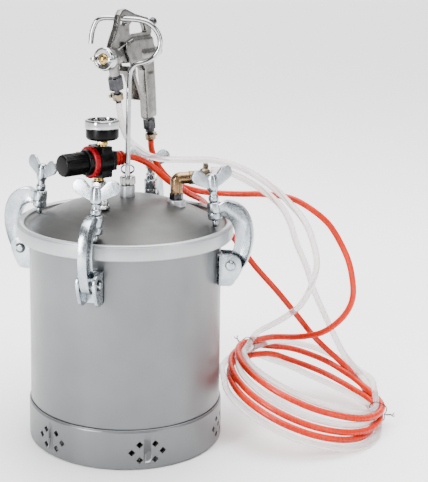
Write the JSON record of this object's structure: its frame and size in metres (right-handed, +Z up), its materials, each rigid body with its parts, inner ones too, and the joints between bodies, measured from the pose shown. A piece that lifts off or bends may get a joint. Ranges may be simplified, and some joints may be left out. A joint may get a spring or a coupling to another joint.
{
  "type": "pressure pot",
  "caption": "Pressure-feed pot with swing clamps, regulator with gauge, hanger rod, hung spray gun and coiled air and fluid hoses.",
  "frame": {"origin": "centre of the base, on the surface the pot stands on", "axes": "+Z up along the pot's axis; the four clamps stand on +X, +Y, -X and -Y, and -Y is the front"},
  "size_m": [0.484, 0.3639, 0.5375],
  "materials": {
    "silver_paint": "satin silver-grey enamel",
    "lid_paint": "satin grey enamel, darker than the pot",
    "zinc_plate": "bright zinc plate on cast and pressed steel",
    "chrome_plate": "polished chrome",
    "cast_aluminium": "tumbled cast aluminium",
    "brass": "plain and aged brass",
    "black_plastic": "moulded black plastic",
    "red_plastic": "moulded red plastic",
    "gasket_rubber": "black rubber",
    "dark_steel": "dark plated steel",
    "gauge_glass": "clear window",
    "orange_hose": "smooth orange hose",
    "clear_hose": "clear vinyl tube",
    "dial_face": "printed white dial",
    "tie_black": "black plastic-covered wire"
  },
  "bodies": {
    "pot": {"tank_shell": "silver_paint", "base_skirt": "silver_paint", "lid": "lid_paint", "lid_gasket": "gasket_rubber", "clamp_bracket_front": "zinc_plate", "clamp_bracket_right": "zinc_plate", "clamp_bracket_back": "zinc_plate", "clamp_bracket_left": "zinc_plate", "clamp_pin_front": "zinc_plate", "clamp_pin_right": "zinc_plate", "clamp_pin_back": "zinc_plate", "clamp_pin_left": "zinc_plate", "hanger_lock_nut": "zinc_plate", "hanger_rod": "chrome_plate", "regulator_riser": "zinc_plate", "regulator_body": "black_plastic", "regulator_bonnet": "red_plastic", "air_outlet_coupling": "red_plastic", "air_inlet_plug": "brass", "gauge_stem": "brass", "gauge_case": "black_plastic", "gauge_bezel": "chrome_plate", "gauge_lens": "gauge_glass", "safety_valve": "brass", "fluid_elbow": "brass", "fluid_hose_tail": "dark_steel", "fluid_hose_clamp": "brass", "pickup_tube": "zinc_plate", "gun_body": "cast_aluminium", "gun_nozzle": "brass", "gun_fluid_inlet": "dark_steel", "gun_fluid_clamp": "brass", "gun_air_inlet": "dark_steel", "gun_air_clamp": "brass", "air_hose_pot_run": "orange_hose", "air_hose_gun_run": "orange_hose", "fluid_hose_gun_run": "clear_hose", "fluid_hose_pot_run": "clear_hose", "hose_coil": "orange_hose"},
    "clamp_front": {"clamp_arm_front": "zinc_plate"},
    "foot_front": {"clamp_foot_front": "zinc_plate"},
    "bolt_front": {"wing_bolt_front": "zinc_plate"},
    "clamp_right": {"clamp_arm_right": "zinc_plate"},
    "foot_right": {"clamp_foot_right": "zinc_plate"},
    "bolt_right": {"wing_bolt_right": "zinc_plate"},
    "clamp_back": {"clamp_arm_back": "zinc_plate"},
    "foot_back": {"clamp_foot_back": "zinc_plate"},
    "bolt_back": {"wing_bolt_back": "zinc_plate"},
    "clamp_left": {"clamp_arm_left": "zinc_plate"},
    "foot_left": {"clamp_foot_left": "zinc_plate"},
    "bolt_left": {"wing_bolt_left": "zinc_plate"},
    "regulator_knob": {"regulator_knob": "black_plastic"},
    "gauge_needle": {"gauge_needle": "black_plastic"},
    "trigger": {"gun_trigger": "cast_aluminium"},
    "air_cap": {"gun_air_cap": "chrome_plate"},
    "fluid_knob": {"gun_fluid_knob": "chrome_plate"},
    "fan_knob": {"gun_fan_knob": "dark_steel"},
    "valve_ring": {"safety_valve_ring": "zinc_plate"},
    "chain_ring": {"chain_ring": "zinc_plate"}
  },
  "joints": [
    {"name": "clamp_swing_front", "type": "hinge", "parent": "pot", "child": "clamp_front", "pos_m": [0, -0.1375, 0.23], "axis": [1, 0, 0], "range_deg": [0, 100]},
    {"name": "foot_travel_front", "type": "slide", "parent": "clamp_front", "child": "foot_front", "axis": [0, 0.0941, 0.9956], "range_m": [0, 0.0071]},
    {"name": "wing_bolt_turn_front", "type": "hinge", "parent": "foot_front", "child": "bolt_front", "pos_m": [0, -0.116, 0.2738], "axis": [0, 0.0941, 0.9956], "range_deg": [0, 1440]},
    {"name": "clamp_swing_right", "type": "hinge", "parent": "pot", "child": "clamp_right", "pos_m": [0.1375, 0, 0.23], "axis": [0, 1, 0], "range_deg": [0, 100]},
    {"name": "foot_travel_right", "type": "slide", "parent": "clamp_right", "child": "foot_right", "axis": [-0.0941, 0, 0.9956], "range_m": [0, 0.0071]},
    {"name": "wing_bolt_turn_right", "type": "hinge", "parent": "foot_right", "child": "bolt_right", "pos_m": [0.116, 0, 0.2738], "axis": [-0.0941, 0, 0.9956], "range_deg": [0, 1440]},
    {"name": "clamp_swing_back", "type": "hinge", "parent": "pot", "child": "clamp_back", "pos_m": [0, 0.1375, 0.23], "axis": [-1, 0, 0], "range_deg": [0, 100]},
    {"name": "foot_travel_back", "type": "slide", "parent": "clamp_back", "child": "foot_back", "axis": [0, -0.0941, 0.9956], "range_m": [0, 0.0071]},
    {"name": "wing_bolt_turn_back", "type": "hinge", "parent": "foot_back", "child": "bolt_back", "pos_m": [0, 0.116, 0.2738], "axis": [0, -0.0941, 0.9956], "range_deg": [0, 1440]},
    {"name": "clamp_swing_left", "type": "hinge", "parent": "pot", "child": "clamp_left", "pos_m": [-0.1375, 0, 0.23], "axis": [0, -1, 0], "range_deg": [0, 100]},
    {"name": "foot_travel_left", "type": "slide", "parent": "clamp_left", "child": "foot_left", "axis": [0.0941, 0, 0.9956], "range_m": [0, 0.0071]},
    {"name": "wing_bolt_turn_left", "type": "hinge", "parent": "foot_left", "child": "bolt_left", "pos_m": [-0.116, 0, 0.2738], "axis": [0.0941, 0, 0.9956], "range_deg": [0, 1440]},
    {"name": "regulator_knob_turn", "type": "hinge", "parent": "pot", "child": "regulator_knob", "pos_m": [-0.0278, -0.0198, 0.351], "axis": [0.5664, 0.8241, 0], "range_deg": [0, 1440]},
    {"name": "gauge_needle_turn", "type": "hinge", "parent": "pot", "child": "gauge_needle", "pos_m": [-0.02125, -0.02563, 0.393], "axis": [0, 0, -1], "range_deg": [0, 270], "stiffness_Nm_per_rad": 0.0001},
    {"name": "trigger_pull", "type": "hinge", "parent": "pot", "child": "trigger", "pos_m": [-0.00398, 0.0019, 0.4915], "axis": [0.9724, -0.2334, 0], "range_deg": [0, 10], "stiffness_Nm_per_rad": 1.5, "springref_deg": -5.73},
    {"name": "air_cap_turn", "type": "hinge", "parent": "pot", "child": "air_cap", "pos_m": [-0.0132, -0.03651, 0.479], "axis": [-0.2334, -0.9724, 0], "range_deg": [-90, 90]},
    {"name": "fluid_knob_turn", "type": "hinge", "parent": "pot", "child": "fluid_knob", "pos_m": [0.01504, 0.08115, 0.479], "axis": [0.2334, 0.9724, 0], "range_deg": [0, 1080]},
    {"name": "fan_knob_turn", "type": "hinge", "parent": "pot", "child": "fan_knob", "pos_m": [0.01119, 0.06511, 0.514], "axis": [0.2164, 0.9016, 0.3746], "range_deg": [0, 540]},
    {"name": "safety_valve_pull", "type": "slide", "parent": "pot", "child": "valve_ring", "axis": [0, 0, 1], "range_m": [0, 0.004], "stiffness_N_per_m": 600},
    {"name": "chain_ring_turn", "type": "hinge", "parent": "pot", "child": "chain_ring", "pos_m": [0.00286, 0.0009, 0.3382], "axis": [0, 0, 1], "continuous": true}
  ],
  "couplings": [
    {"joint": "foot_travel_front", "follows": "wing_bolt_turn_front", "m_per_rad": 0.00027852},
    {"joint": "foot_travel_right", "follows": "wing_bolt_turn_right", "m_per_rad": 0.00027852},
    {"joint": "foot_travel_back", "follows": "wing_bolt_turn_back", "m_per_rad": 0.00027852},
    {"joint": "foot_travel_left", "follows": "wing_bolt_turn_left", "m_per_rad": 0.00027852}
  ]
}
